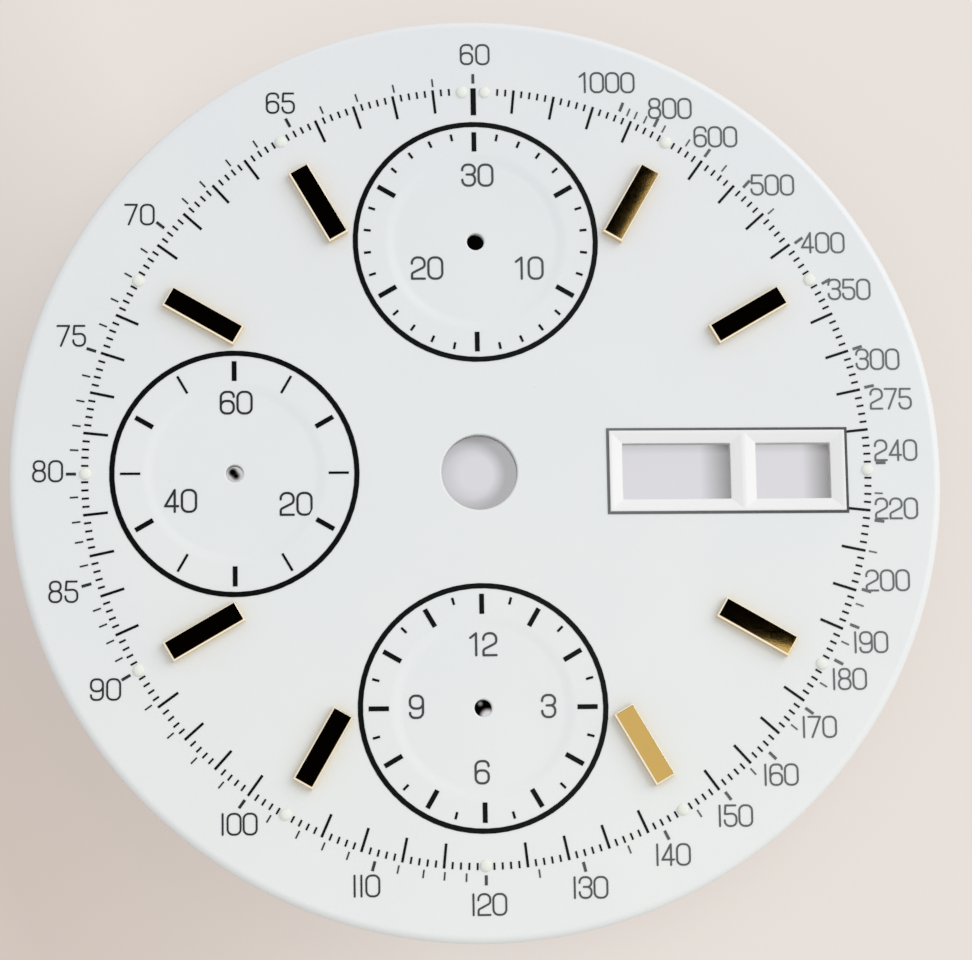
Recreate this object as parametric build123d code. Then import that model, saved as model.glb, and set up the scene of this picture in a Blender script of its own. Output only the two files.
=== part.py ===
from build123d import *
import os
from collections import namedtuple
from math import asin, cos, degrees, radians, sin, sqrt

# Dial blank: a brass disc, lacquered over its face and rim
dial_diameter = 29.5
plate_thickness = 0.40
lacquer_thickness = 0.05
rim_round = 0.22
lacquer_skirt_stop = 0.12
back_edge_chamfer = 0.05
lacquer_setback = 0.03
centre_hole_diameter = 2.40
cut_overrun = 0.5

# Minute track, printed inside the tachymeter scale
ink_thickness = 0.015
track_inset = 2.26
second_tick_length = 0.77
second_tick_width = 0.08
fifth_tick_length = 0.22
fifth_tick_width = 0.06
noon_bar_length = 0.89
noon_bar_width = 0.17

# Luminous pips, one on the track at each hour and a pair beside the noon bar
pip_diameter = 0.40
pip_height = 0.10
pip_inset = 0.13
pip_clearance = 0.02
noon_pip_gap = 0.075

# Tachymeter scale, between the minute track and the rim
plain_speed_inset = 1.89
plain_speed_length = 0.26
plain_speed_width = 0.05
numbered_speed_inset = 1.79
numbered_speed_length = 0.31
numbered_speed_width = 0.09
speed_numeral_inset = 1.20
speed_digit_height = 0.70
speed_digit_width = 0.46
speed_pen_width = 0.06
pair_digit_gap = 0.07
long_digit_gap = 0.035

# Counters at 12, 6 and 9 o'clock
counter_axis_gap = 3.535
counter_track_gap = 0.345
seconds_track_gap = 0.10
counter_ring_width = 0.165
counter_tick_gap = 0.175
bold_tick_width = 0.15
fine_tick_width = 0.075
minutes_fine_tick_length = 0.22
hours_fine_tick_length = 0.23
recess_tick_gap = 0.07
recess_slope_width = 0.22
recess_depth = 0.04
counter_hole_diameter = 0.55
counter_pen_width = 0.07
counter_digit_gap = 0.05

# Hour markers: bevelled batons, each held by two feet through the plate
marker_width = 0.70
marker_height = 0.32
marker_bevel = 0.08
marker_ring_gap = 0.165
marker_track_gap = 0.42
marker_foot_diameter = 0.30
marker_foot_inset = 0.50
marker_foot_clearance = 0.01

# Day and date frame, set in the plate's aperture
opening_height = 1.78
day_opening_width = 3.44
date_opening_width = 2.38
frame_bar_width = 0.82
frame_left_border = 0.42
frame_right_border = 0.46
frame_side_border = 0.40
frame_land = 0.08
frame_bar_land = 0.10
frame_proud = 0.08
frame_slope_drop = 0.12
frame_flange_width = 0.15
frame_clearance = 0.02
frame_back_gap = 0.05
frame_track_gap = 0.07
outline_width = 0.08
outline_gap = 0.01

# Dial feet: copper pins on the back that go into the movement
dial_foot_diameter = 0.75
dial_foot_length = 2.0
dial_foot_chamfer = 0.08
dial_foot_inset = 1.60
foot_base_diameter = 1.30
foot_base_thickness = 0.15
foot_base_clearance = 0.01
dial_foot_angles = (40, 222)

# Scales and numerals, as counts, clock angles and shares
seconds_in_minute = 60
fifths_in_second = 5
degrees_per_second = 6
degrees_per_hour = 30
marker_hours = [hour for hour in range(1, 12) if hour % 3]
pip_hours = range(1, 12)
plain_one = "|"
numbered_speeds = (
    *range(60, 90, 5),
    *range(90, 210, 10),
    *(220, 240, 275, 300, 350, 400, 500, 600, 800, 1000),
)
plain_speeds = (
    *(speed for speed in range(61, 90) if speed % 5),
    *(speed for speed in range(92, 120, 2) if speed % 10),
    *range(125, 200, 10),
    *(210, 230, 450, 550, 650, 750, 850, 900, 950),
)
numeral_turns = {
    60: 0.3, 65: 0.4, 70: -0.6, 75: 1.0, 80: 0.4, 100: -1.2, 110: -0.3,
    120: -0.3, 150: 0.4, 160: 1.1, 170: 0.7, 190: 0.5, 200: -2.6, 220: -2.8,
    240: -2.7, 275: 1.6, 300: 2.4, 350: 2.2, 400: 2.5, 500: 2.7, 600: -0.4,
    800: 1.2, 1000: -2.8,
}
numeral_drop_shares = {
    60: -0.09, 65: 0.09, 100: 0.16, 110: 0.14, 130: 0.09, 140: 0.12, 150: 0.10,
    160: 0.12, 170: 0.18, 180: 0.17, 200: -0.09, 275: -0.09, 400: -0.09,
}
tick_turns = {
    66: -0.6, 67: -0.5, 68: -0.6, 69: 0.5, 82: -0.3, 84: -0.3, 86: -0.8, 87: -0.3,
    98: -0.5, 104: -0.5, 106: -0.5, 108: -0.4, 110: -0.6, 112: -0.5, 114: -0.7,
    116: -0.4, 118: -0.3, 125: -0.3, 135: -0.6, 140: -0.5, 145: -0.7, 150: -0.5,
    155: -0.8, 165: -1.0, 170: -0.3, 175: -0.9, 180: -1.4, 185: -1.0, 190: -0.7,
    195: -0.9, 200: -0.4, 210: -0.9, 220: -0.8, 230: -0.5, 240: -1.0, 275: -0.7,
    350: -0.3, 400: 0.3, 450: 0.5, 650: -0.4, 800: 0.4, 850: 0.4, 900: 0.3, 950: 0.4,
    1000: 0.3,
}
minutes_numeral_shares = (("30", 2.5, 0.82), ("10", 117, 0.72), ("20", 241, 0.67))
seconds_numeral_shares = (("60", 1.5, 0.85), ("20", 117, 0.81), ("40", 243, 0.715))
hours_numeral_shares = (("12", 1, 0.75), ("3", 89, 0.77), ("6", 182, 0.755), ("9", 271.5, 0.785))
minutes_tick_count = 30
minutes_bold_count = 6
seconds_tick_count = 12
seconds_bold_count = 6
hours_tick_count = 24
hours_bold_count = 12
bold_tick_length_share = 0.161
counter_digit_height_share = 0.286
counter_digit_width_share = 0.192

# How a pen draws each digit: the share across, the share up and the corner's round as a share,
# all of the box that the pen's centre line fills. A line that ends where it starts is closed.
upright_share = 0.64
pen_shares = {
    "0": [[(0, 0, 0.42), (1, 0, 0.42), (1, 1, 0.42), (0, 1, 0.42), (0, 0, 0.42)]],
    "1": [[(0, 0.80, 0), (0.62, 1, 0)], [(0.62, 1, 0), (0.62, 0, 0)]],
    plain_one: [[(0.5, 0, 0), (0.5, 1, 0)]],
    "2": [[
        (0, 0.71, 0), (0, 1, 0.40), (1, 1, 0.40), (1, 0.56, 0.30),
        (0, 0.26, 0.20), (0, 0, 0), (1, 0, 0),
    ]],
    "3": [
        [(0, 0.73, 0), (0, 1, 0.38), (1, 1, 0.38), (1, 0.53, 0.32), (0.35, 0.53, 0)],
        [(0.35, 0.53, 0), (1, 0.53, 0.34), (1, 0, 0.40), (0, 0, 0.40), (0, 0.28, 0)],
    ],
    "4": [
        [(0.74, 0, 0), (0.74, 1, 0)],
        [(0.74, 1, 0), (0, 0.26, 0)],
        [(0, 0.26, 0), (1, 0.26, 0)],
    ],
    "5": [[
        (0.94, 1, 0), (0.08, 1, 0), (0.03, 0.58, 0), (1, 0.62, 0.38),
        (1, 0, 0.40), (0, 0, 0.40), (0, 0.28, 0),
    ]],
    "6": [
        [(0, 0, 0.38), (1, 0, 0.38), (1, 0.58, 0.38), (0, 0.58, 0.38), (0, 0, 0.38)],
        [(0, 0.32, 0), (0, 1, 0.40), (1, 1, 0.32), (1, 0.77, 0)],
    ],
    "7": [[(0, 1, 0), (1, 1, 0)], [(1, 1, 0), (0.30, 0, 0)]],
    "8": [
        [(0, 0, 0.38), (1, 0, 0.38), (1, 0.53, 0.38), (0, 0.53, 0.38), (0, 0, 0.38)],
        [(0.05, 0.53, 0.34), (0.95, 0.53, 0.34), (0.95, 1, 0.34), (0.05, 1, 0.34), (0.05, 0.53, 0.34)],
    ],
}
pen_shares["9"] = [
    [(1 - across, 1 - up, corner) for across, up, corner in line]
    for line in pen_shares["6"]
]
digit_width_shares = {"0": 1.0, "1": 0.70, plain_one: 0.38}
usual_width_share = 0.93

# Worked out from the sizes above
dial_radius = dial_diameter / 2
plate_radius = dial_radius - lacquer_thickness
face_height = plate_thickness + lacquer_thickness
track_radius = dial_radius - track_inset
second_tick_radius = track_radius - second_tick_length
pip_circle = track_radius - pip_inset
ring_outer_radius = (second_tick_radius - counter_track_gap - counter_axis_gap) / 2
ring_inner_radius = ring_outer_radius - counter_ring_width
bold_tick_length = ring_outer_radius * bold_tick_length_share
counter_tick_radius = ring_inner_radius - counter_tick_gap
recess_radius = counter_tick_radius - bold_tick_length - recess_tick_gap
recess_floor_radius = recess_radius - recess_slope_width
counter_offset = counter_axis_gap + ring_outer_radius
seconds_offset = second_tick_radius - seconds_track_gap - ring_outer_radius
minutes_centre = (0, counter_offset)
hours_centre = (0, -counter_offset)
seconds_centre = (-seconds_offset, 0)
counter_centres = (minutes_centre, hours_centre, seconds_centre)
frame_right = second_tick_radius - frame_track_gap
frame_width = (
    frame_left_border + day_opening_width + frame_bar_width + date_opening_width + frame_right_border
)
frame_height = opening_height + frame_side_border * 2
frame_left = frame_right - frame_width
outline_reach = outline_gap + outline_width


def marker_start(centre_distance):
    """The radius where a marker begins, clear of the ring of a counter one hour away from it."""
    turn = radians(degrees_per_hour)
    sideways = centre_distance * sin(turn) - marker_width / 2
    clear_radius = ring_outer_radius + marker_ring_gap
    ring_reach = sqrt(max(0, clear_radius**2 - sideways**2))
    return centre_distance * cos(turn) + ring_reach


marker_inner_radius = max(marker_start(counter_offset), marker_start(seconds_offset))
marker_outer_radius = second_tick_radius - marker_track_gap
marker_length = marker_outer_radius - marker_inner_radius
marker_radius = (marker_outer_radius + marker_inner_radius) / 2
marker_foot_reach = marker_length / 2 - marker_foot_inset

PenStyle = namedtuple("PenStyle", "height width pen")
speed_style = PenStyle(speed_digit_height, speed_digit_width, speed_pen_width)
counter_style = PenStyle(
    recess_floor_radius * counter_digit_height_share,
    recess_floor_radius * counter_digit_width_share,
    counter_pen_width,
)


def at_clock(radius, clock_degrees, height, centre=(0, 0)):
    """The place on a circle at a clock angle, turned so that its +Y points outwards."""
    return Pos(centre[0], centre[1], height) * Rot(0, 0, -clock_degrees) * Pos(0, radius, 0)


def on_circle(radius, clock_degrees):
    """The x and y of a point on a circle round the dial's centre."""
    turn = radians(clock_degrees)
    return radius * sin(turn), radius * cos(turn)


def round_hole(diameter, centre=(0, 0)):
    """A cutter through the whole dial."""
    height = face_height + cut_overrun * 2
    return Pos(centre[0], centre[1], face_height / 2) * Cylinder(diameter / 2, height)


def block(left, right, bottom, top, low, high):
    """A block between two x, two y and two z values."""
    middle = Pos((left + right) / 2, (bottom + top) / 2, low)
    return middle * Box(right - left, top - bottom, high - low, align=(Align.CENTER, Align.CENTER, Align.MIN))


def turned(points):
    """A solid of revolution about the dial's axis, from points given as radius and height."""
    return revolve(Plane.XZ * make_face(Polyline(*points, close=True)), axis=Axis.Z)


# Dial blank
def blank(radius, low, high, edge_round):
    """A disc with its upper edge rounded."""
    disc = Cylinder(radius, high - low, align=(Align.CENTER, Align.CENTER, Align.MIN))
    return Pos(0, 0, low) * fillet(disc.edges().group_by(Axis.Z)[-1], edge_round)


def recess_cutter(top):
    """A shallow round recess with a sloped wall, cut down from the given height."""
    floor = top - recess_depth
    over = top + cut_overrun
    slope = [(recess_floor_radius, floor), (recess_radius, top)]
    return turned([(0, floor), *slope, (recess_radius, over), (0, over)])


def frame_aperture(spread):
    """The cutter of the aperture for the day and date frame, widened all round by spread."""
    reach = frame_height / 2 - frame_flange_width + spread
    return block(
        frame_left + frame_flange_width - spread,
        frame_right - frame_flange_width + spread,
        -reach,
        reach,
        -cut_overrun,
        face_height + cut_overrun,
    )


def face_cutters(setback):
    """Every hole through the dial's face, widened all round by setback."""
    cutters = [frame_aperture(setback), round_hole(centre_hole_diameter + setback * 2)]
    for centre in counter_centres:
        cutters.append(round_hole(counter_hole_diameter + setback * 2, centre))
    foot_hole_diameter = marker_foot_diameter + (marker_foot_clearance + setback) * 2
    for hour in marker_hours:
        for reach in (-marker_foot_reach, marker_foot_reach):
            place = on_circle(marker_radius + reach, hour * degrees_per_hour)
            cutters.append(round_hole(foot_hole_diameter, place))
    return cutters


def plate_blank():
    """The brass disc with its counter recesses and no holes."""
    disc = blank(plate_radius, 0, plate_thickness, rim_round - lacquer_thickness)
    disc = chamfer(disc.edges().group_by(Axis.Z)[0], back_edge_chamfer)
    for centre in counter_centres:
        disc -= Pos(*centre) * recess_cutter(plate_thickness)
    return disc


def dial_plate():
    plate = plate_blank() - face_cutters(0)
    for clock_degrees in dial_foot_angles:
        socket = Cylinder(
            foot_base_diameter / 2 + foot_base_clearance,
            foot_base_thickness + cut_overrun,
            align=(Align.CENTER, Align.CENTER, Align.MIN),
        )
        plate -= at_clock(dial_radius - dial_foot_inset, clock_degrees, -cut_overrun) * socket
    return plate


def lacquer_coat():
    coat = blank(dial_radius, lacquer_skirt_stop, face_height, rim_round)
    for centre in counter_centres:
        coat -= Pos(*centre) * recess_cutter(face_height)
    return coat - plate_blank() - face_cutters(lacquer_setback)


# Applied pieces
def hour_marker(hour):
    body = Box(marker_width, marker_length, marker_height, align=(Align.CENTER, Align.CENTER, Align.MIN))
    body = chamfer(body.edges().group_by(Axis.Z)[-1], marker_bevel)
    foot = Cylinder(marker_foot_diameter / 2, face_height, align=(Align.CENTER, Align.CENTER, Align.MAX))
    for reach in (-marker_foot_reach, marker_foot_reach):
        body += Pos(0, reach, 0) * foot
    return at_clock(marker_radius, hour * degrees_per_hour, face_height) * body


def funnel(left, right, left_spread, right_spread):
    """The sloped mouth of one opening of the frame, wider at the top by the spreads."""
    top = face_height + frame_proud
    floor = top - frame_slope_drop
    half = opening_height / 2
    side_spread = frame_side_border - frame_land
    outlines = []
    for share, height in ((0, floor), (1, top)):
        corners = [
            (left - left_spread * share, -half - side_spread * share),
            (right + right_spread * share, -half - side_spread * share),
            (right + right_spread * share, half + side_spread * share),
            (left - left_spread * share, half + side_spread * share),
        ]
        outlines.append(Pos(0, 0, height) * make_face(Polyline(*corners, close=True)))
    return loft(outlines, ruled=True)


def day_date_frame():
    top = face_height + frame_proud
    half = frame_height / 2
    body_inset = frame_flange_width + frame_clearance
    frame = block(frame_left, frame_right, -half, half, face_height, top)
    frame += block(
        frame_left + body_inset,
        frame_right - body_inset,
        body_inset - half,
        half - body_inset,
        frame_back_gap,
        top,
    )
    bar_spread = (frame_bar_width - frame_bar_land) / 2
    day_left = frame_left + frame_left_border
    day_right = day_left + day_opening_width
    date_left = day_right + frame_bar_width
    date_right = date_left + date_opening_width
    mouths = (
        (day_left, day_right, frame_left_border - frame_land, bar_spread),
        (date_left, date_right, bar_spread, frame_right_border - frame_land),
    )
    for left, right, left_spread, right_spread in mouths:
        frame -= block(left, right, -opening_height / 2, opening_height / 2, -cut_overrun, top + cut_overrun)
        frame -= funnel(left, right, left_spread, right_spread)
    return frame


def luminous_pip(clock_degrees):
    """A drop of luminous paint: a low dome on the track."""
    edge = (pip_diameter / 2, 0)
    crown = (0, pip_height)
    dome_radius = ((pip_diameter / 2) ** 2 + pip_height**2) / (pip_height * 2)
    outline = [Line((0, 0), edge), RadiusArc(edge, crown, -dome_radius), Line(crown, (0, 0))]
    dome = revolve(Plane.XZ * make_face(outline), axis=Axis.Z)
    return at_clock(pip_circle, clock_degrees, face_height) * dome


def dial_foot(clock_degrees):
    """A copper pin whose round base is set flush in the plate's back."""
    hanging = (Align.CENTER, Align.CENTER, Align.MAX)
    standing = (Align.CENTER, Align.CENTER, Align.MIN)
    pin = Cylinder(dial_foot_diameter / 2, dial_foot_length, align=hanging)
    pin = chamfer(pin.edges().group_by(Axis.Z)[0], dial_foot_chamfer)
    base = Cylinder(foot_base_diameter / 2, foot_base_thickness, align=standing)
    return at_clock(dial_radius - dial_foot_inset, clock_degrees, 0) * (pin + base)


# Printed ink
def tick(width, inner_radius, outer_radius, clock_degrees, centre=(0, 0)):
    """A straight printed line between two radii, on the dial's face."""
    length = outer_radius - inner_radius
    line = Box(width, length, ink_thickness, align=(Align.CENTER, Align.MIN, Align.MIN))
    return (at_clock(inner_radius, clock_degrees, face_height, centre) * line).solid()


def pip_angles():
    """The clock angles of the pips, the two beside the noon bar first."""
    aside = noon_bar_width / 2 + noon_pip_gap + pip_diameter / 2
    noon_turn = degrees(asin(aside / pip_circle))
    return [-noon_turn, noon_turn] + [hour * degrees_per_hour for hour in pip_hours]


def beside_pip(clock_degrees):
    """Whether a fifth-of-a-second tick at this angle would lie under a pip."""
    reach = pip_diameter / 2 + fifth_tick_width / 2 + pip_clearance
    apart = [abs((clock_degrees - angle + 180) % 360 - 180) for angle in pip_angles()]
    return radians(min(apart)) * pip_circle < reach


def outside_outline(radius, clock_degrees):
    """The radius where a tick may begin, past the right side of the frame's printed outline."""
    across, up = on_circle(radius, clock_degrees)
    edge = frame_right + outline_reach
    if abs(up) > frame_height / 2 + outline_reach or not 0 < across < edge:
        return radius
    return edge / sin(radians(clock_degrees))


def minute_track_print():
    lines = []
    for count in range(seconds_in_minute * fifths_in_second):
        angle = count * degrees_per_second / fifths_in_second
        whole_second = count % fifths_in_second == 0
        on_the_hour = angle % degrees_per_hour == 0
        if whole_second and not on_the_hour:
            start = outside_outline(second_tick_radius, angle)
            lines.append(tick(second_tick_width, start, track_radius, angle))
        elif not whole_second and not beside_pip(angle):
            start = track_radius - fifth_tick_length
            lines.append(tick(fifth_tick_width, start, track_radius, angle))
    return lines


def noon_bar_print():
    return [tick(noon_bar_width, track_radius - noon_bar_length, track_radius, 0)]


def pen_line(points, rounds, pen):
    """A line of the pen's width along the points, with its corners rounded and its ends round."""
    if points[0] == points[-1]:
        path = Wire(FilletPolyline(*points[:-1], radius=rounds[:-1], close=True).edges())
        outer = make_face(offset(path, amount=pen / 2).edges())
        inner = make_face(offset(path, amount=-pen / 2).edges())
        return outer - inner
    straight = len(points) == 2
    route = Line(*points) if straight else FilletPolyline(*points, radius=rounds[1:-1])
    return make_face(offset(Wire(route.edges()), amount=pen / 2, side=Side.BOTH).edges())


def digit_width(digit, style):
    return style.width * digit_width_shares.get(digit, usual_width_share)


drawn_digits = {}


def digit_solid(digit, style):
    """One digit, centred, with its ink standing on z = 0."""
    if (digit, style) not in drawn_digits:
        across = digit_width(digit, style) - style.pen
        up = style.height - style.pen
        corner = min(style.width - style.pen, up * upright_share)
        ink = Sketch()
        for line in pen_shares[digit]:
            points = [((x - 0.5) * across, (y - 0.5) * up) for x, y, _ in line]
            ink += pen_line(points, [share * corner for _, _, share in line], style.pen)
        drawn_digits[digit, style] = extrude(ink, amount=ink_thickness)
    return drawn_digits[digit, style]


def text_width(text, style, gap):
    return sum(digit_width(digit, style) for digit in text) + gap * (len(text) - 1)


def numeral(text, style, gap, place):
    """The solids of a numeral's digits, side by side and centred on a place."""
    left = -text_width(text, style, gap) / 2
    solids = []
    for digit in text:
        width = digit_width(digit, style)
        solids += (place * Pos(left + width / 2, 0, 0) * digit_solid(digit, style)).solids()
        left += width + gap
    return solids


def speed_angle(speed):
    """The clock angle of a speed: units an hour when one is passed in that part of a minute."""
    return 360 * seconds_in_minute / speed


def speed_tick(speed, inset, length, width):
    """A tick of the speed scale, printed a little off its true angle where this dial's is."""
    outer = dial_radius - inset
    return tick(width, outer - length, outer, speed_angle(speed) + tick_turns.get(speed, 0))


def speed_numeral(speed):
    """A speed's digits. A long numeral at three or nine o'clock stands further in from the rim."""
    text = str(speed)
    if len(text) == 3:
        text = text.replace("1", plain_one)
    gap = pair_digit_gap if len(text) == 2 else long_digit_gap
    angle = speed_angle(speed) + numeral_turns.get(speed, 0)
    extra_reach = max(0, text_width(text, speed_style, gap) / 2 - speed_digit_width)
    drop = speed_digit_height * numeral_drop_shares.get(speed, 0)
    inset = speed_numeral_inset + drop + extra_reach * abs(sin(radians(angle)))
    across, up = on_circle(dial_radius - inset, angle)
    return numeral(text, speed_style, gap, Pos(across, up, face_height))


def tachymeter_print():
    """The ticks and numerals of the speed scale, one print where a tick runs into a digit."""
    numbered_tick = (numbered_speed_inset, numbered_speed_length, numbered_speed_width)
    plain_tick = (plain_speed_inset, plain_speed_length, plain_speed_width)
    ink = [speed_tick(speed, *numbered_tick) for speed in numbered_speeds]
    ink += [speed_tick(speed, *plain_tick) for speed in plain_speeds]
    for speed in numbered_speeds:
        ink += speed_numeral(speed)
    return ink[0].fuse(*ink[1:]).solids()


def frame_outline_print():
    inner = block(
        frame_left - outline_gap,
        frame_right + outline_gap,
        -frame_height / 2 - outline_gap,
        frame_height / 2 + outline_gap,
        face_height,
        face_height + ink_thickness,
    )
    outer = block(
        frame_left - outline_reach,
        frame_right + outline_reach,
        -frame_height / 2 - outline_reach,
        frame_height / 2 + outline_reach,
        face_height,
        face_height + ink_thickness,
    )
    return (outer - inner).solids()


def counter_ring(centre):
    ring = Cylinder(ring_outer_radius, ink_thickness, align=(Align.CENTER, Align.CENTER, Align.MIN))
    ring -= Cylinder(ring_inner_radius, ink_thickness, align=(Align.CENTER, Align.CENTER, Align.MIN))
    return (Pos(centre[0], centre[1], face_height) * ring).solids()


def counter_ticks(centre, tick_count, bold_count, fine_length):
    """A counter's ticks: bold ones at equal angles and fine ones between them."""
    lines = []
    for number in range(tick_count):
        bold = number * bold_count % tick_count == 0
        width = bold_tick_width if bold else fine_tick_width
        length = bold_tick_length if bold else fine_length
        angle = 360 * number / tick_count
        lines.append(tick(width, counter_tick_radius - length, counter_tick_radius, angle, centre))
    return lines


def counter_numerals(centre, numeral_shares):
    """A counter's numerals, printed on the floor of its recess."""
    solids = []
    for text, clock_degrees, share in numeral_shares:
        across, up = on_circle(recess_floor_radius * share, clock_degrees)
        place = Pos(centre[0] + across, centre[1] + up, face_height - recess_depth)
        solids += numeral(text, counter_style, counter_digit_gap, place)
    return solids


def save(name, shape):
    """One STEP file, named after its node."""
    solids = shape if isinstance(shape, list) else shape.solids()
    export_step(Compound(solids), f"parts/{name}.step")


os.makedirs("parts", exist_ok=True)
save("dial_plate", dial_plate())
save("lacquer_coat", lacquer_coat())
save("day_date_frame", day_date_frame())
for hour in marker_hours:
    save(f"hour_marker_{hour:02d}", hour_marker(hour))
noon_pip_names = ["luminous_pip_12_left", "luminous_pip_12_right"]
pip_names = noon_pip_names + [f"luminous_pip_{hour:02d}" for hour in pip_hours]
for name, angle in zip(pip_names, pip_angles()):
    save(name, luminous_pip(angle))
for name, angle in zip(("dial_foot_right", "dial_foot_left"), dial_foot_angles):
    save(name, dial_foot(angle))
save("minute_track_print", minute_track_print())
save("noon_bar_print", noon_bar_print())
save("tachymeter_print", tachymeter_print())
save("frame_outline_print", frame_outline_print())
minutes_ticks = (minutes_tick_count, minutes_bold_count, minutes_fine_tick_length)
seconds_ticks = (seconds_tick_count, seconds_bold_count, bold_tick_length)
hours_ticks = (hours_tick_count, hours_bold_count, hours_fine_tick_length)
counters = (
    ("minutes", minutes_centre, minutes_ticks, minutes_numeral_shares),
    ("seconds", seconds_centre, seconds_ticks, seconds_numeral_shares),
    ("hours", hours_centre, hours_ticks, hours_numeral_shares),
)
for name, centre, tick_pattern, numeral_shares in counters:
    save(f"{name}_ring_print", counter_ring(centre))
    save(f"{name}_ticks_print", counter_ticks(centre, *tick_pattern))
    save(f"{name}_numerals_print", counter_numerals(centre, numeral_shares))
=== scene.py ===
from math import cos, pi, radians, sin
from random import Random

import bmesh
import bpy
from mathutils import Euler, Matrix, Vector


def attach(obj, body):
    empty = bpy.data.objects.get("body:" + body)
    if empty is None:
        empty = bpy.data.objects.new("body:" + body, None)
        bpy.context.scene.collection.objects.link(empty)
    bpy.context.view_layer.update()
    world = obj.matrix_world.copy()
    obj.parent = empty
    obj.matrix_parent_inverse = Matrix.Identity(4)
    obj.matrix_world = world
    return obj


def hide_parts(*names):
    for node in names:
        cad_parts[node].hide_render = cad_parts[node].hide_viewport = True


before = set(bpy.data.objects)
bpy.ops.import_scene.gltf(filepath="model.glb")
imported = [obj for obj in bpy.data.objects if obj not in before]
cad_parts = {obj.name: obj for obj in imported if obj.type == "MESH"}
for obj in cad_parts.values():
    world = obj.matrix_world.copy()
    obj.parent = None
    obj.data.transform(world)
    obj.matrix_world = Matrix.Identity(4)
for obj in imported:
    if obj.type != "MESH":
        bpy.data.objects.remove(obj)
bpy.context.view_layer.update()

# The camera stands a hand's breadth over the face, a little towards six and nine o'clock,
# as for a close picture of a dial that lies face up on a table.
mm = 0.001
picture_width = 972
lens_in_pixels = 3339.5
lacquer_top = 0.45
camera_turn = Euler((-0.1598, 0.0709, 0.0057), "XYZ").to_matrix().transposed()
camera_reach = Vector((-0.206, 0.256, -105.349)) * mm
camera_data = bpy.data.cameras.new("camera")
camera_data.sensor_width = 36
camera_data.lens = lens_in_pixels * camera_data.sensor_width / picture_width
camera_data.clip_start = 0.005
camera = bpy.data.objects.new("camera", camera_data)
camera_place = Vector((0, 0, lacquer_top * mm)) - camera_turn @ camera_reach
camera.matrix_world = Matrix.Translation(camera_place) @ camera_turn.to_4x4()
bpy.context.scene.collection.objects.link(camera)
bpy.context.scene.camera = camera


# Dial plate: a stamped brass disc, faced on a lathe, with a bare back. Every hole is stamped:
# the centre hole, three for the counter hands, the frame's aperture and two for each marker.
class Reading:
    """An output of a node; Python's operators on a number that varies add Math nodes."""

    def __init__(self, nodes, socket):
        self.nodes = nodes
        self.socket = socket

    def maths(self, operation, *values):
        return self.nodes.node("ShaderNodeMath", {"operation": operation}, dict(enumerate(values)))

    def __add__(self, other):
        return self.maths("ADD", self, other)

    def __sub__(self, other):
        return self.maths("SUBTRACT", self, other)

    def __rsub__(self, other):
        return self.maths("SUBTRACT", other, self)

    def __mul__(self, other):
        return self.maths("MULTIPLY", self, other)

    def __lt__(self, other):
        return self.maths("LESS_THAN", self, other)

    __radd__ = __add__
    __rmul__ = __mul__


class Nodes:
    """The nodes of a material or of the room, and the one method that adds them."""

    def __init__(self, owner, ending):
        owner.use_nodes = True
        self.tree = owner.node_tree
        self.tree.nodes.clear()
        self.ending = self.tree.nodes.new(ending).inputs["Surface"]

    def node(self, kind, settings, values, output=0):
        made = self.tree.nodes.new(kind)
        for setting, value in settings.items():
            setattr(made, setting, value)
        for key, value in values.items():
            self.join(made.inputs[key], value)
        return Reading(self, made.outputs[output])

    def join(self, socket, value):
        if isinstance(value, Reading):
            self.tree.links.new(value.socket, socket)
        else:
            socket.default_value = value


class Finish(Nodes):
    """A material with one Principled shader, which is fed constants and readings by name."""

    def __init__(self, name, **constants):
        self.material = bpy.data.materials.new(name)
        super().__init__(self.material, "ShaderNodeOutputMaterial")
        self.shader = self.node("ShaderNodeBsdfPrincipled", {}, {})
        self.join(self.ending, self.shader)
        self.feed(**constants)

    def feed(self, **values):
        for socket_name, value in values.items():
            self.join(self.shader.socket.node.inputs[socket_name.replace("_", " ")], value)

    def place(self):
        return self.node("ShaderNodeTexCoord", {}, {}, "Object")

    def coordinate(self, axis, vector=None):
        """The X, Y or Z of a vector, or else of the place on the piece, in metres."""
        return self.node("ShaderNodeSeparateXYZ", {}, {"Vector": vector or self.place()}, axis)

    def vector_maths(self, operation, first, second, output="Value"):
        return self.node("ShaderNodeVectorMath", {"operation": operation}, {0: first, 1: second}, output)

    def noise(self, grain, detail):
        """Noise from 0 to 1 whose lumps are about a grain across."""
        values = {"Vector": self.place(), "Scale": 1 / grain, "Detail": detail}
        return self.node("ShaderNodeTexNoise", {}, values, "Fac")

    def tool_lines(self, distance, groove, detail):
        """Noise from 0 to 1 along a distance only, as a lathe's tool leaves it."""
        values = {"W": distance, "Scale": 1 / groove, "Detail": detail}
        return self.node("ShaderNodeTexNoise", {"noise_dimensions": "1D"}, values, "Fac")

    def between(self, low, high, reading):
        """A reading from low to high, stretched to run from 0 to 1 and held there."""
        values = {"Value": reading, "From Min": low, "From Max": high}
        return self.node("ShaderNodeMapRange", {"clamp": True}, values)

    def blend(self, share, first, second):
        """The colour that a share from 0 to 1 picks between two colours."""
        return self.node("ShaderNodeMix", {"data_type": "RGBA"}, {0: share, 6: first, 7: second}, 2)

    def relief(self, height, depth):
        """A normal for a relief whose height runs from 0 to 1 over the given depth."""
        return self.node("ShaderNodeBump", {}, {"Height": height, "Distance": depth, "Strength": 1.0})


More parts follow.
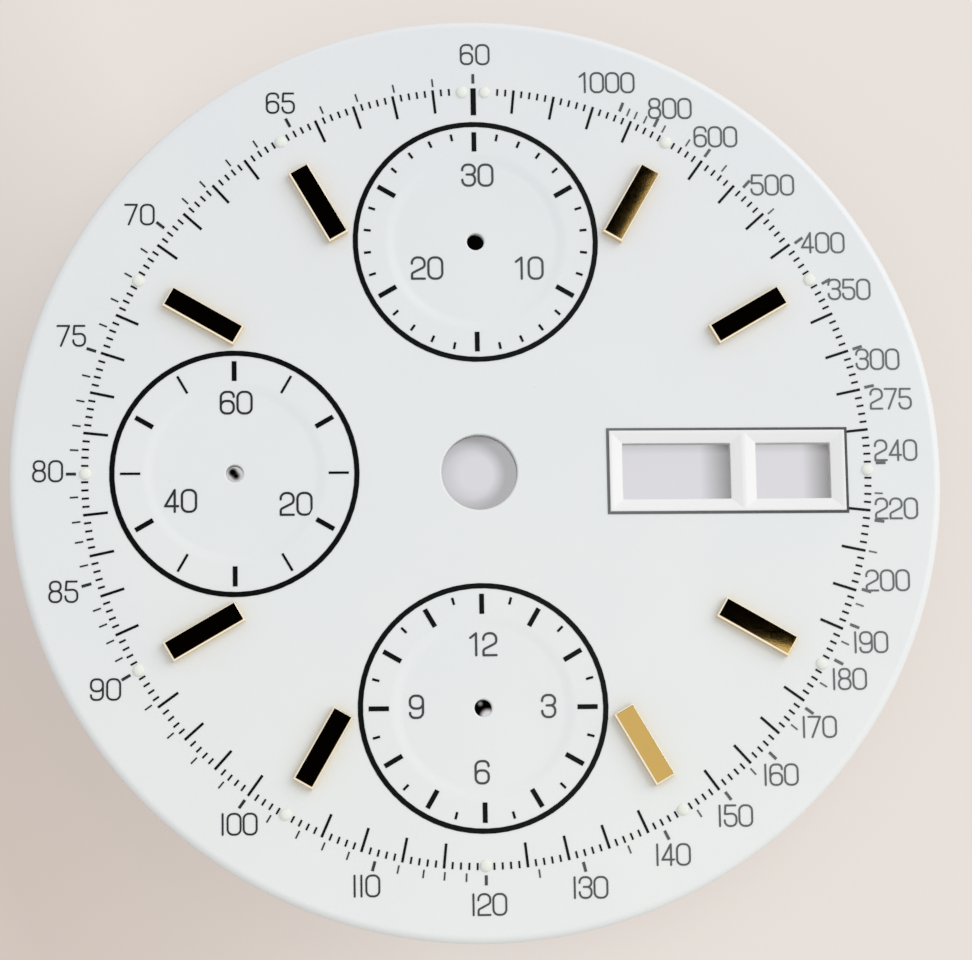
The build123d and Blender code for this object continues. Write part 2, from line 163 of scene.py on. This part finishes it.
def turned_brass():
    """Brass that a lathe has faced in fine rings round the dial's axis, a little stained with age."""
    clean = (0.78, 0.56, 0.26, 1)
    stained = (0.42, 0.27, 0.12, 1)
    finish = Finish("bare_brass", Metallic=1.0)
    flat_place = finish.vector_maths("MULTIPLY", finish.place(), (1, 1, 0), "Vector")
    from_axis = finish.node("ShaderNodeVectorMath", {"operation": "LENGTH"}, {0: flat_place}, "Value")
    rings = finish.tool_lines(from_axis, 0.4 * mm, 6.0)
    bands = finish.between(0.35, 0.65, rings)
    patches = finish.between(0.45, 0.80, finish.noise(5 * mm, 3.0))
    specks = finish.between(0.62, 0.72, finish.noise(0.35 * mm, 3.0))
    finish.feed(
        Base_Color=finish.blend(patches * 0.25 + specks * 0.25 + bands * 0.12, clean, stained),
        Roughness=0.22 + bands * 0.12 + patches * 0.10,
        Normal=finish.relief(rings, 0.01 * mm),
    )
    return finish.material


def piece(name, shape, material, node, sharp_degrees=30):
    """Makes an object of a finished bmesh, in place, with its material and body, and hides the node it
    stands for.
    """
    bmesh.ops.remove_doubles(shape, verts=shape.verts, dist=0.0004 * mm)
    bmesh.ops.recalc_face_normals(shape, faces=shape.faces)
    mesh = bpy.data.meshes.new(name)
    shape.to_mesh(mesh)
    shape.free()
    mesh.shade_smooth()
    mesh.set_sharp_from_angle(angle=radians(sharp_degrees))
    mesh.materials.append(material)
    made = bpy.data.objects.new(name, mesh)
    bpy.context.scene.collection.objects.link(made)
    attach(made, "root")
    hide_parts(node)


def on_circle(radius, clock_degrees):
    """The x and y of a point at a clock angle, in millimetres."""
    return radius * sin(radians(clock_degrees)), radius * cos(radians(clock_degrees))


def edges_of(found):
    return [part for part in found if isinstance(part, bmesh.types.BMEdge)]


def verts_of(found):
    return [part for part in found if isinstance(part, bmesh.types.BMVert)]


def round_loop(bm, radius, centre, height, segments):
    """The edges of a circle, given in millimetres."""
    place = Matrix.Translation((centre[0] * mm, centre[1] * mm, height * mm))
    made = bmesh.ops.create_circle(bm, radius=radius * mm, segments=segments, matrix=place)
    return list(dict.fromkeys(edge for vert in made["verts"] for edge in vert.link_edges))


def square_loop(bm, left, right, bottom, top, height):
    """The edges of a rectangle, given in millimetres."""
    loop = round_loop(bm, 1, (0, 0), height, 4)
    corners = list(dict.fromkeys(vert for edge in loop for vert in edge.verts))
    bmesh.ops.transform(bm, matrix=Matrix.Rotation(radians(45), 4, "Z"), verts=corners)
    for vert in corners:
        vert.co.x = (right if vert.co.x > 0 else left) * mm
        vert.co.y = (top if vert.co.y > 0 else bottom) * mm
    return loop


def turn_over(bm, loop, centre, steps):
    """Carries a round loop through (radius, height) steps, and gives its last edges."""
    about = Matrix.Translation((-centre[0] * mm, -centre[1] * mm, 0))
    for (old_radius, old_height), (radius, height) in zip(steps, steps[1:]):
        grown = bmesh.ops.extrude_edge_only(bm, edges=loop)["geom"]
        loop = edges_of(grown)
        size = radius / old_radius
        bmesh.ops.scale(bm, vec=(size, size, 1), space=about, verts=verts_of(grown))
        bmesh.ops.translate(bm, vec=(0, 0, (height - old_height) * mm), verts=verts_of(grown))
    return loop


def sink(bm, loop, steps):
    """Carries a square loop through (spread, height) steps, and gives its last edges."""
    for (old_spread, old_height), (spread, height) in zip(steps, steps[1:]):
        grown = bmesh.ops.extrude_edge_only(bm, edges=loop)["geom"]
        corners = verts_of(grown)
        loop = edges_of(grown)
        middle = sum((vert.co for vert in corners), Vector()) / len(corners)
        for vert in corners:
            vert.co.x += (spread - old_spread) * mm * (1 if vert.co.x > middle.x else -1)
            vert.co.y += (spread - old_spread) * mm * (1 if vert.co.y > middle.y else -1)
            vert.co.z += (height - old_height) * mm
    return loop


def round_wall(bm, tops, bottoms, centre, steps, segments):
    """A round wall from the upper sheet to the lower one, through (radius, height) steps."""
    start_radius, start_height = steps[0]
    tops.append(round_loop(bm, start_radius, centre, start_height, segments))
    bottoms.append(turn_over(bm, tops[-1], centre, steps))


def close_with_sheet(bm, loops, up):
    """Fills the flat space between an outer loop and the holes in it."""
    edges = [edge for loop in loops for edge in loop]
    bmesh.ops.triangle_fill(bm, use_beauty=True, edges=edges, normal=(0, 0, up))


def soft_corner(start_radius, start_height, end_radius, end_height, count=6):
    """The steps of a rounded corner that leaves a flat face and ends on a wall."""
    steps = []
    for number in range(count + 1):
        turn = pi / 2 * number / count
        radius = start_radius + (end_radius - start_radius) * sin(turn)
        steps.append((radius, start_height + (end_height - start_height) * (1 - cos(turn))))
    return steps


middle_of_dial = (0, 0)
plate_radius = 14.70
plate_top = 0.40
recess_radius = 2.88
recess_floor_radius = 2.66
recess_floor = 0.36
centre_hole_radius = 1.20
counter_hole_radius = 0.275
counter_centres = {"minutes": (0, 7.455), "hours": (0, -7.455), "seconds": (-7.70, 0)}
aperture_left, aperture_right, aperture_half = 4.28, 11.50, 1.14
degrees_per_hour = 30
marker_hours = (1, 2, 4, 5, 7, 8, 10, 11)
marker_foot_reaches = (9.275, 10.80)
marker_hole_radius = 0.16
dial_foot_places = {"right": on_circle(13.15, 40), "left": on_circle(13.15, 222)}
socket_radius = 0.66
socket_depth = 0.16
rim_segments = 360
hole_segments = 96
foot_segments = 48
small_segments = 24

marker_foot_places = []
for hour in marker_hours:
    marker_foot_places += [on_circle(reach, hour * degrees_per_hour) for reach in marker_foot_reaches]

plate_rim = [(14.40, plate_top), (14.50, plate_top)]
plate_rim += soft_corner(14.53, plate_top, plate_radius, 0.23)
plate_rim += [(plate_radius, 0.05), (14.685, 0.02), (14.65, 0.0), (14.50, 0.0)]
centre_wall = [(1.24, plate_top), (1.215, 0.39), (centre_hole_radius, 0.36), (centre_hole_radius, 0.03)]
centre_wall += [(1.215, 0.01), (1.25, 0.0), (1.30, 0.0)]
counter_wall = [(recess_radius, plate_top), (recess_floor_radius, recess_floor), (0.32, recess_floor)]
counter_wall += [(counter_hole_radius, 0.34), (counter_hole_radius, 0.03)]
counter_wall += [(0.285, 0.01), (0.31, 0.0), (0.36, 0.0)]
marker_foot_wall = [(marker_hole_radius, plate_top), (marker_hole_radius, 0.015), (0.175, 0.0), (0.20, 0.0)]
socket_wall = [(0.70, 0.0), (socket_radius, 0.0), (socket_radius, socket_depth), (0.05, socket_depth)]

bm = bmesh.new()
tops = []
bottoms = []
round_wall(bm, tops, bottoms, middle_of_dial, plate_rim, rim_segments)
round_wall(bm, tops, bottoms, middle_of_dial, centre_wall, hole_segments)
for centre in counter_centres.values():
    round_wall(bm, tops, bottoms, centre, counter_wall, hole_segments)
for centre in marker_foot_places:
    round_wall(bm, tops, bottoms, centre, marker_foot_wall, small_segments)
tops.append(square_loop(bm, aperture_left, aperture_right, -aperture_half, aperture_half, plate_top))
bottoms.append(sink(bm, tops[-1], [(0, plate_top), (0, 0)]))
for centre in dial_foot_places.values():
    socket_edge = round_loop(bm, socket_wall[0][0], centre, 0, foot_segments)
    bottoms.append(socket_edge)
    close_with_sheet(bm, [turn_over(bm, socket_edge, centre, socket_wall)], -1)
close_with_sheet(bm, tops, 1)
close_with_sheet(bm, bottoms, -1)
piece("brass_plate", bm, turned_brass(), "dial_plate")

# Lacquer: a thick white gloss coat, sprayed on the face and rim of the plate and rubbed flat.
# It draws back into soft lips at the holes and lies in a soft step round each counter's floor.
lacquer_floor = 0.41
lip_top = 0.452
dial_radius = 14.75
aperture_margin = 0.03


def white_lacquer(name, shaded_at_twelve, lit_at_six):
    """A gloss lacquer with painted shade that darkens it towards twelve and painted light towards six, with
    faint orange peel and specks of dust.
    """
    finish = Finish(name, Specular_IOR_Level=0.3, Coat_Roughness=0.2)
    clouds = finish.between(0.35, 0.68, finish.noise(4.5 * mm, 3.0))
    # Painted light and shade: the colour runs from a shaded tone at twelve to a lighter one at six, with a
    # little random clouding.
    painted_light_and_clouds = finish.between(14 * mm, -14 * mm, finish.coordinate("Y")) * 0.8 + clouds * 0.2
    peel = finish.noise(0.28 * mm, 1.0)
    dust = finish.noise(0.11 * mm, 1.0) < 0.19
    dust_colour = (0.55, 0.53, 0.50, 1)
    finish.feed(
        Base_Color=finish.blend(dust * 0.35, finish.blend(painted_light_and_clouds, shaded_at_twelve, lit_at_six), dust_colour),
        Roughness=0.34 + clouds * 0.06 + peel * 0.05,
        Coat_Weight=0.2 - dust * 0.15,
        Normal=finish.relief(peel, 0.0012 * mm),
    )
    return finish.material


def soft_step(outer_radius, top, inner_radius, floor, count=8):
    """The steps of a slope that is rounded at its top and at its foot."""
    steps = []
    for number in range(count + 1):
        share = number / count
        drop = share * share * (3 - 2 * share)
        steps.append((outer_radius + (inner_radius - outer_radius) * share, top + (floor - top) * drop))
    return steps


coat_rim = [(14.30, lacquer_top), (14.48, lacquer_top)]
coat_rim += soft_corner(14.49, lacquer_top, dial_radius, 0.20, 10)
coat_rim += [(dial_radius, 0.14), (14.74, 0.12), (plate_radius, 0.12), (plate_radius, 0.22)]
coat_rim += [(14.66, 0.33), (14.60, 0.38), (14.50, plate_top)]
centre_lip = [(1.33, lacquer_top), (1.31, lacquer_top), (1.27, lip_top)]
centre_lip += soft_corner(1.26, lip_top, 1.193, 0.38)
centre_lip += [(1.193, 0.12), (centre_hole_radius, 0.11), (centre_hole_radius, plate_top), (1.23, plate_top)]
counter_step = [(2.96, lacquer_top), (2.94, lacquer_top)]
counter_step += soft_step(2.93, lacquer_top, 2.52, lacquer_floor)
counter_step += [(2.50, lacquer_floor), (0.36, lacquer_floor), (0.34, lacquer_floor)]
counter_step += soft_corner(0.33, lacquer_floor, 0.272, 0.35)
counter_step += [(0.272, 0.12), (counter_hole_radius, 0.11), (counter_hole_radius, recess_floor)]
counter_step += [(recess_floor_radius, recess_floor), (recess_radius, plate_top), (2.90, plate_top)]

bm = bmesh.new()
tops = []
bottoms = []
round_wall(bm, tops, bottoms, middle_of_dial, coat_rim, rim_segments)
round_wall(bm, tops, bottoms, middle_of_dial, centre_lip, hole_segments)
for centre in counter_centres.values():
    round_wall(bm, tops, bottoms, centre, counter_step, hole_segments)
for centre in marker_foot_places:
    round_wall(bm, tops, bottoms, centre, [(0.19, lacquer_top), (0.19, plate_top)], small_segments)
coat_left, coat_right = aperture_left - aperture_margin, aperture_right + aperture_margin
coat_half = aperture_half + aperture_margin
tops.append(square_loop(bm, coat_left, coat_right, -coat_half, coat_half, lacquer_top))
bottoms.append(sink(bm, tops[-1], [(0, lacquer_top), (0, plate_top)]))
close_with_sheet(bm, tops, 1)
close_with_sheet(bm, bottoms, -1)
dial_lacquer = white_lacquer("dial_lacquer", (0.765, 0.78, 0.795, 1), (0.82, 0.835, 0.81, 1))
piece("lacquered_face", bm, dial_lacquer, "lacquer_coat", 40)

# Day and date frame: one stamped brass frame, lacquered white, pressed into the aperture.
# Its borders slope down into the two openings, and a narrow flange rests on the dial's face.
frame_left, frame_right, frame_half = 4.13, 11.65, 1.29
frame_top = 0.53
frame_bottom = 0.05
slope_bottom = 0.41
flange_width = 0.17
border_land = 0.08
bar_land = 0.10
day_opening = (4.55, 7.99)
date_opening = (8.81, 11.19)
opening_half = 0.89
mouth_half = frame_half - border_land
bar_middle = (day_opening[1] + date_opening[0]) / 2
day_mouth = (frame_left + border_land, bar_middle - bar_land / 2)
date_mouth = (bar_middle + bar_land / 2, frame_right - border_land)


def sharp_edges(bm, least_degrees, lowest=-1):
    """The edges that turn by more than an angle and lie above a height in millimetres."""
    found = []
    for edge in bm.edges:
        high = all(vert.co.z > lowest * mm for vert in edge.verts)
        if high and edge.calc_face_angle(0) > radians(least_degrees):
            found.append(edge)
    return found


def bevel(bm, edges, width, segments):
    """Cuts or rounds edges off by a width in millimetres."""
    bmesh.ops.bevel(
        bm, geom=edges, offset=width * mm, offset_type="OFFSET", segments=segments, profile=0.5,
        affect="EDGES", clamp_overlap=True, material=-1,
    )


bm = bmesh.new()
tops = [square_loop(bm, frame_left, frame_right, -frame_half, frame_half, frame_top)]
flange = [(0, frame_top), (0, lacquer_top), (-flange_width, lacquer_top), (-flange_width, frame_bottom)]
bottoms = [sink(bm, tops[0], flange)]
for mouth, opening in ((day_mouth, day_opening), (date_mouth, date_opening)):
    tops.append(square_loop(bm, *mouth, -mouth_half, mouth_half, frame_top))
    slope = bmesh.ops.extrude_edge_only(bm, edges=tops[-1])["geom"]
    middle = sum(mouth) / 2 * mm
    for vert in verts_of(slope):
        vert.co.x = opening[1 if vert.co.x > middle else 0] * mm
        vert.co.y = (opening_half if vert.co.y > 0 else -opening_half) * mm
        vert.co.z = slope_bottom * mm
    bottoms.append(sink(bm, edges_of(slope), [(0, slope_bottom), (0, frame_bottom)]))
close_with_sheet(bm, tops, 1)
close_with_sheet(bm, bottoms, -1)
bmesh.ops.recalc_face_normals(bm, faces=bm.faces)
bmesh.ops.dissolve_limit(bm, angle_limit=radians(1), verts=bm.verts, edges=bm.edges)
bevel(bm, sharp_edges(bm, 15), 0.022, 3)
frame_lacquer = white_lacquer("frame_lacquer", (0.84, 0.835, 0.835, 1), (0.855, 0.845, 0.835, 1))
piece("window_frame", bm, frame_lacquer, "day_date_frame", 8)

# Hour markers: batons cut from brass bar, bevelled with a diamond tool, plated with gold and
# polished. Each has two feet, pushed through the plate and fixed from behind.
marker_start = 8.72
marker_end = 11.30
marker_width = 0.70
marker_height = 0.32
marker_top = lacquer_top + marker_height
marker_bevel = 0.05
marker_corner = 0.008
marker_foot_radius = 0.15


def polished_gold():
    """Gold plate, with the faint lines of the diamond tool and a few dull spots, a painted highlight on the
    bevels and a painted reflection on the walls.
    """
    bright = (0.65, 0.435, 0.135, 1)
    dulled = (0.58, 0.37, 0.11, 1)
    painted_bevel_highlight = (0.99, 0.935, 0.80, 1)
    wall = (0.80, 0.575, 0.235, 1)
    finish = Finish("gold_plate", Metallic=1.0)
    lines = finish.noise(0.05 * mm, 2.0)
    dull = finish.between(0.55, 0.8, finish.noise(0.5 * mm, 3.0))
    upright = finish.coordinate("Z", finish.node("ShaderNodeNewGeometry", {}, {}, "Normal"))
    bevelled = finish.between(0.45, 0.60, upright) * (1 - finish.between(0.80, 0.95, upright))
    sides = 1 - finish.between(0.2, 0.45, upright)
    # Painted highlight: the bevels are near white. Painted reflection: the walls are paler gold and less
    # metallic, as if lit by the white face.
    shade = finish.blend(bevelled, finish.blend(dull * 0.5, bright, dulled), painted_bevel_highlight)
    finish.feed(
        Base_Color=finish.blend(sides, shade, wall),
        Roughness=0.02 + dull * 0.015 + lines * 0.01 + bevelled * 0.24 + sides * 0.14,
        Metallic=1 - sides * 0.3,
        Normal=finish.relief(lines, 0.00005 * mm),
    )
    return finish.material


gold_plate = polished_gold()
for hour in marker_hours:
    bm = bmesh.new()
    middle = Vector((0, (marker_start + marker_end) / 2, lacquer_top + marker_height / 2)) * mm
    size = Matrix.Diagonal((marker_width * mm, (marker_end - marker_start) * mm, marker_height * mm, 1))
    bmesh.ops.create_cube(bm, size=1, matrix=Matrix.Translation(middle) @ size)
    bevel(bm, sharp_edges(bm, 10, marker_top - 0.001), marker_bevel, 1)
    bevel(bm, sharp_edges(bm, 10), marker_corner, 2)
    for reach in marker_foot_reaches:
        bmesh.ops.create_cone(
            bm, cap_ends=True, segments=small_segments, depth=lacquer_top * mm,
            radius1=marker_foot_radius * mm, radius2=marker_foot_radius * mm,
            matrix=Matrix.Translation((0, reach * mm, lacquer_top / 2 * mm)),
        )
    turn = Matrix.Rotation(radians(-hour * degrees_per_hour), 4, "Z")
    bmesh.ops.transform(bm, matrix=turn, verts=bm.verts)
    piece(f"gold_marker_{hour:02d}", bm, gold_plate, f"hour_marker_{hour:02d}", 8)

# Luminous pips: a drop of luminous paint on the track at each hour, and one each side of the
# bar at twelve, put on by hand with a pen, so no two are quite alike.
pip_radius = 0.20
pip_height = 0.10
pip_circle = 12.36
noon_pip_degrees = 1.669


def luminous_paint():
    """Matt paint, thick with pale green grains."""
    finish = Finish("luminous_paint", Roughness=0.85, Specular_IOR_Level=0.2)
    grains = finish.noise(0.03 * mm, 2.0)
    shade = finish.blend(finish.between(0.3, 0.7, grains), (0.80, 0.83, 0.745, 1), (0.83, 0.85, 0.79, 1))
    finish.feed(Base_Color=shade, Normal=finish.relief(grains, 0.006 * mm))
    return finish.material


pip_angles = {"12_left": -noon_pip_degrees, "12_right": noon_pip_degrees}
pip_angles.update({f"{hour:02d}": hour * degrees_per_hour for hour in range(1, 12)})
paint = luminous_paint()
hand = Random(12)
for pip_name, clock_degrees in pip_angles.items():
    bm = bmesh.new()
    bmesh.ops.create_uvsphere(bm, u_segments=28, v_segments=16, radius=1)
    ball = bm.verts[:] + bm.edges[:] + bm.faces[:]
    bmesh.ops.bisect_plane(bm, geom=ball, plane_co=(0, 0, 0), plane_no=(0, 0, -1), clear_outer=True)
    bmesh.ops.contextual_create(bm, geom=[edge for edge in bm.edges if edge.is_boundary])
    wide, deep, lean = hand.uniform(0.92, 1.0), hand.uniform(0.90, 1.0), hand.uniform(0, 180)
    drop = Matrix.Diagonal((pip_radius * wide * mm, pip_radius * deep * mm, pip_height * mm, 1))
    tilt = Matrix.Rotation(radians(lean), 4, "Z")
    seat = Matrix.Translation(Vector((*on_circle(pip_circle, clock_degrees), lacquer_top)) * mm)
    bmesh.ops.transform(bm, matrix=seat @ tilt @ drop, verts=bm.verts)
    piece(f"paint_drop_{pip_name}", bm, paint, f"luminous_pip_{pip_name}", 60)

# Printed scales: black ink, laid on the lacquer by a soft pad in one pass for each colour.
# The rings, bars and bold ticks are dense; hairlines and numerals take up less ink.


def printing_ink(name, dense, thin, towards_right):
    """Ink with a dry, slightly mottled surface, whose tone shifts towards the right of the dial."""
    finish = Finish(name, Specular_IOR_Level=0.05)
    mottle = finish.between(0.4, 0.7, finish.noise(0.05 * mm, 3.0))
    # The ink's colour runs from one tone at the left of the dial to another at the right.
    rightwards = finish.between(-6 * mm, 12 * mm, finish.coordinate("X"))
    finish.feed(
        Base_Color=finish.blend(mottle * 0.5, finish.blend(rightwards, dense, towards_right), thin),
        Roughness=0.42 + mottle * 0.2,
        Normal=finish.relief(mottle, 0.0015 * mm),
    )
    return finish.material


dense_ink = printing_ink(
    "dense_ink", (0.002, 0.003, 0.003, 1), (0.008, 0.010, 0.009, 1), (0.012, 0.015, 0.014, 1)
)
hairline_ink = printing_ink(
    "hairline_ink", (0.28, 0.29, 0.29, 1), (0.18, 0.19, 0.19, 1), (0.07, 0.075, 0.075, 1)
)
fine_ink = printing_ink(
    "fine_ink", (0.020, 0.024, 0.026, 1), (0.060, 0.066, 0.068, 1), (0.165, 0.175, 0.178, 1)
)
inks = {"noon_bar": dense_ink, "minute_track": dense_ink}
inks.update({"tachymeter": fine_ink, "frame_outline": hairline_ink})
for counter in counter_centres:
    inks.update({f"{counter}_ring": dense_ink, f"{counter}_ticks": dense_ink})
    inks.update({f"{counter}_numerals": fine_ink})
for print_name, ink in inks.items():
    print_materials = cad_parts[f"{print_name}_print"].data.materials
    print_materials.clear()
    print_materials.append(ink)

# Dial feet: two copper pins, turned on a lathe and soldered by their round bases into sockets
# in the plate's back. They go into the movement, which clamps them from the side.
pin_radius = 0.375
foot_profile = [(0.02, 0.145), (0.65, 0.145), (0.65, 0.015), (0.635, 0.0), (0.45, 0.0)]
foot_profile += [(0.40, -0.012), (0.378, -0.04), (pin_radius, -0.08), (pin_radius, -0.90)]
foot_profile += [(0.368, -0.91), (0.368, -0.96), (pin_radius, -0.97), (pin_radius, -1.90)]
foot_profile += [(0.36, -1.935), (0.30, -1.995), (0.28, -2.0), (0.02, -2.0)]


def turned_copper():
    """Drawn copper with the lathe's rings along it, browned in patches."""
    finish = Finish("turned_copper", Metallic=1.0)
    rings = finish.tool_lines(finish.coordinate("Z"), 0.05 * mm, 3.0)
    tarnish = finish.between(0.45, 0.75, finish.noise(0.4 * mm, 4.0))
    finish.feed(
        Base_Color=finish.blend(tarnish * 0.7, (0.80, 0.42, 0.26, 1), (0.38, 0.18, 0.11, 1)),
        Roughness=0.28 + rings * 0.12 + tarnish * 0.15,
        Normal=finish.relief(rings, 0.003 * mm),
    )
    return finish.material


copper = turned_copper()
for side, centre in dial_foot_places.items():
    bm = bmesh.new()
    tops = []
    bottoms = []
    round_wall(bm, tops, bottoms, centre, foot_profile, foot_segments)
    close_with_sheet(bm, tops, 1)
    close_with_sheet(bm, bottoms, -1)
    piece(f"copper_foot_{side}", bm, copper, f"dial_foot_{side}", 25)

# Stage: a pale table of pinkish paper with painted light and shade on it, a wide soft lamp to the upper
# right, pale light all round, and a dark card overhead that only polished metal shows.
table_half = 1500
table_depth = 2.0
card_height = 150
far_paper = (0.80, 0.745, 0.71, 1)


def stage_sheet(name, corners, height, material):
    """A flat sheet of the stage, from corners in millimetres."""
    mesh = bpy.data.meshes.new(name)
    bm = bmesh.new()
    bm.faces.new([bm.verts.new((x * mm, y * mm, height * mm)) for x, y in corners])
    bm.to_mesh(mesh)
    bm.free()
    mesh.materials.append(material)
    made = bpy.data.objects.new(name, mesh)
    bpy.context.scene.collection.objects.link(made)
    return made


paper = Finish("pale_paper", Roughness=0.9, Specular_IOR_Level=0.1)


def under(place, inner, outer):
    """A disc on the table, in millimetres: 1 out to the inner radius, and 0 past the outer one."""
    spot = Vector((*place, -table_depth)) * mm
    return 1 - paper.between(inner * mm, outer * mm, paper.vector_maths("DISTANCE", paper.place(), spot))


def along(axis, start, stop):
    """A reading that rises from 0 to 1 between two places along the table, in millimetres."""
    return paper.between(start * mm, stop * mm, paper.coordinate(axis))


# The paper is pinker towards six o'clock, and a soft shadow is painted on it to the lower left of the dial.
tint = paper.between(0.35, 0.65, paper.noise(60 * mm, 1.0)) * 0.25 + along("Y", -16, 16) * 0.75
near_paper = paper.blend(tint, (0.812, 0.746, 0.695, 1), (0.808, 0.756, 0.718, 1))
open_paper = paper.blend(under(middle_of_dial, 18, 50), far_paper, near_paper)
towards_lower_left = paper.vector_maths("DOT_PRODUCT", paper.place(), (-0.94, -0.34, 0))
# Painted shadow: darker paper to the lower left of the dial, fading out further away.
painted_shadow_share = paper.between(6 * mm, 18 * mm, towards_lower_left) * under(middle_of_dial, 17, 34)
painted_shadow_paper = paper.blend(along("Y", -12, 8), (0.605, 0.515, 0.460, 1), (0.60, 0.54, 0.51, 1))
open_paper = paper.blend(painted_shadow_share, open_paper, painted_shadow_paper)

# Pools of light are painted on it where light would fall through the windows and holes, with painted shade
# along their right and upper edges.
lit_centre = under((0.16, 0.36), 1.5, 1.7)
centre_shade = (1 - under((0.08, 0.34), 0.53, 0.95)) * 0.3 + (1 - under((-0.15, 0.29), 0.76, 1.15)) * 0.5
centre_shade = centre_shade + along("Y", 1.27, 1.58) * 0.42
window_width = along("X", 4.3, 4.5) * (1 - along("X", 11.8, 12.0))
window_height = along("Y", -0.9, -0.7) * (1 - along("Y", 1.4, 1.6))
lit_windows = window_width * window_height
right_edges = along("X", 7.35, 8.28) * (1 - along("X", 8.6, 8.8)) + along("X", 10.70, 11.54)
window_shade = right_edges * 1.22 + along("Y", 0.95, 1.26) * 0.45
# Painted shade: a dark comma inside the pool of light under the seconds hole.
painted_shade_comma = (1 - under((-7.77, 0.43), 0.07, 0.18)) * (1 - under((-7.67, 0.31), 0.04, 0.17))
lit_seconds = under((-7.71, 0.33), 0.40, 0.50) * painted_shade_comma * 0.86
lit_hours = under((0.31, -7.52), 0.15, 0.30) + under((0.07, -7.10), 0.02, 0.11) * 0.5
lit = lit_centre + lit_windows + lit_seconds + lit_hours
shaded = lit_windows * window_shade + lit_centre * centre_shade
lit_paper = paper.blend(shaded * 0.62, (0.79, 0.78, 0.82, 1), (0.20, 0.20, 0.20, 1))

# Elsewhere beneath the dial a deep shadow is painted on it.
inward = under(middle_of_dial, 8.2, 14.6)
painted_shadow_beneath = inward * inward * (3 - 2 * inward)
paper_colour = paper.blend(painted_shadow_beneath * (1 - lit), open_paper, (0.008, 0.008, 0.008, 1))
paper_colour = paper.blend(lit, paper_colour, lit_paper)
paper.feed(Base_Color=paper_colour)
# Camera rays see the paper partly as its own glow: evenly out in the open, strongly in the painted pools of
# light, and not at all in the painted shadow beneath the dial.
glow = paper.node("ShaderNodeEmission", {}, {"Color": paper_colour, "Strength": 1.0})
glow_share = 0.8 * (1 - painted_shadow_beneath) * (1 - lit) + 0.85 * lit + 0.2 * (1 - under(middle_of_dial, 60, 400))
seen_glow = paper.node("ShaderNodeLightPath", {}, {}, "Is Camera Ray") * glow_share
paper.join(paper.ending, paper.node("ShaderNodeMixShader", {}, {0: seen_glow, 1: paper.shader, 2: glow}))
table_corners = [(-table_half, -table_half), (table_half, -table_half)]
table_corners += [(table_half, table_half), (-table_half, table_half)]
stage_sheet("table", table_corners, -table_depth, paper.material)

dark = Finish("dark_card", Roughness=1.0, Specular_IOR_Level=0.0, Base_Color=(0.002, 0.002, 0.002, 1))
card_outline = [(-160, -12), (11, -12), (12, 14.2), (31.4, 11.3), (60, 4.7), (120, 4.7)]
card_outline += [(120, 160), (93, 158), (24.6, 39.6), (21.03, 41.62), (89.43, 160), (-160, 160)]
card = stage_sheet("dark_card", card_outline, card_height, dark.material)
card.visible_camera = False
card.visible_diffuse = False
card.visible_shadow = False
card.visible_transmission = False

lamp_place = Vector((0.33, 0.20, 0.36))
lamp_data = bpy.data.lights.new("soft_lamp", "AREA")
lamp_data.shape = "SQUARE"
lamp_data.size = 0.48
lamp_data.color = (1.0, 0.985, 0.965)
lamp_data.energy = 1.33
lamp = bpy.data.objects.new("soft_lamp", lamp_data)
lamp.matrix_world = Matrix.Translation(lamp_place) @ lamp_place.to_track_quat("Z", "Y").to_matrix().to_4x4()
bpy.context.scene.collection.objects.link(lamp)

world = bpy.data.worlds.new("soft_room")
room = Nodes(world, "ShaderNodeOutputWorld")
air = room.node("ShaderNodeBackground", {}, {"Color": (0.965, 0.98, 1.0, 1), "Strength": 0.775})
mirrored_air = room.node("ShaderNodeBackground", {}, {"Color": (0.95, 0.93, 0.90, 1)})
seen_air = room.node("ShaderNodeBackground", {}, {"Color": far_paper})
mirrored = room.node("ShaderNodeLightPath", {}, {}, "Is Glossy Ray")
seen = room.node("ShaderNodeLightPath", {}, {}, "Is Camera Ray")
unseen_air = room.node("ShaderNodeMixShader", {}, {0: mirrored, 1: air, 2: mirrored_air})
room.join(room.ending, room.node("ShaderNodeMixShader", {}, {0: seen, 1: unseen_air, 2: seen_air}))
bpy.context.scene.world = world
bpy.context.scene.view_settings.view_transform = "Standard"
